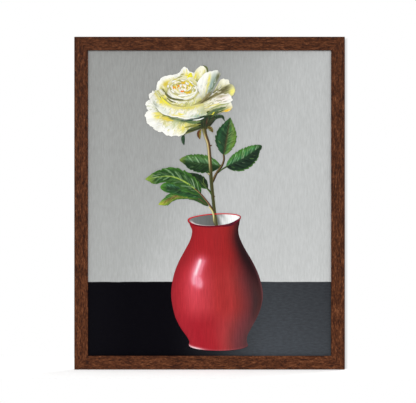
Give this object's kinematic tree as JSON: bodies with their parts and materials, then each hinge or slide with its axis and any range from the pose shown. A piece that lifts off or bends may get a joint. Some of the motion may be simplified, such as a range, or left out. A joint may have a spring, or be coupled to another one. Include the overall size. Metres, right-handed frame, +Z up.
{
  "type": "framed painting",
  "caption": "Upright framed canvas painting of a rose in a red vase, in a flat dark wood frame, with clips and a sawtooth hanger behind.",
  "frame": {"origin": "the hanging point: the underside of the sawtooth hanger's middle notch, in the plane of the frame's back", "axes": "+Z up, +Y out of the frame's back towards the wall, so the picture faces -Y and +X is the viewer's right"},
  "size_m": [0.435, 0.0333, 0.535],
  "materials": {
    "frame_wood": "dark reddish-brown stained hardwood, satin, open dark grain",
    "bar_wood": "raw planed softwood",
    "painted_canvas": "oil paint on primed canvas in front, white primer on the edges, natural cloth behind",
    "steel": "zinc plated",
    "brass": "brass plated",
    "rubber": "matte black"
  },
  "bodies": {
    "root": {"bumper_left": "rubber", "bumper_right": "rubber", "canvas": "painted_canvas", "clip_bottom_left": "steel", "clip_bottom_right": "steel", "clip_left_lower": "steel", "clip_left_upper": "steel", "clip_right_lower": "steel", "clip_right_upper": "steel", "clip_screw_bottom_left": "steel", "clip_screw_bottom_right": "steel", "clip_screw_left_lower": "steel", "clip_screw_left_upper": "steel", "clip_screw_right_lower": "steel", "clip_screw_right_upper": "steel", "clip_screw_top_left": "steel", "clip_screw_top_right": "steel", "clip_top_left": "steel", "clip_top_right": "steel", "corner_nail_bottom_left_inner": "steel", "corner_nail_bottom_left_outer": "steel", "corner_nail_bottom_right_inner": "steel", "corner_nail_bottom_right_outer": "steel", "corner_nail_top_left_inner": "steel", "corner_nail_top_left_outer": "steel", "corner_nail_top_right_inner": "steel", "corner_nail_top_right_outer": "steel", "frame_rail_bottom": "frame_wood", "frame_rail_left": "frame_wood", "frame_rail_right": "frame_wood", "frame_rail_top": "frame_wood", "hanger_nail_left": "brass", "hanger_nail_right": "brass", "sawtooth_hanger": "brass", "stretcher_bar_bottom": "bar_wood", "stretcher_bar_left": "bar_wood", "stretcher_bar_right": "bar_wood", "stretcher_bar_top": "bar_wood", "stretcher_key_bottom_left_across": "bar_wood", "stretcher_key_bottom_left_upright": "bar_wood", "stretcher_key_bottom_right_across": "bar_wood", "stretcher_key_bottom_right_upright": "bar_wood", "stretcher_key_top_left_across": "bar_wood", "stretcher_key_top_left_upright": "bar_wood", "stretcher_key_top_right_across": "bar_wood", "stretcher_key_top_right_upright": "bar_wood"}
  },
  "joints": []
}
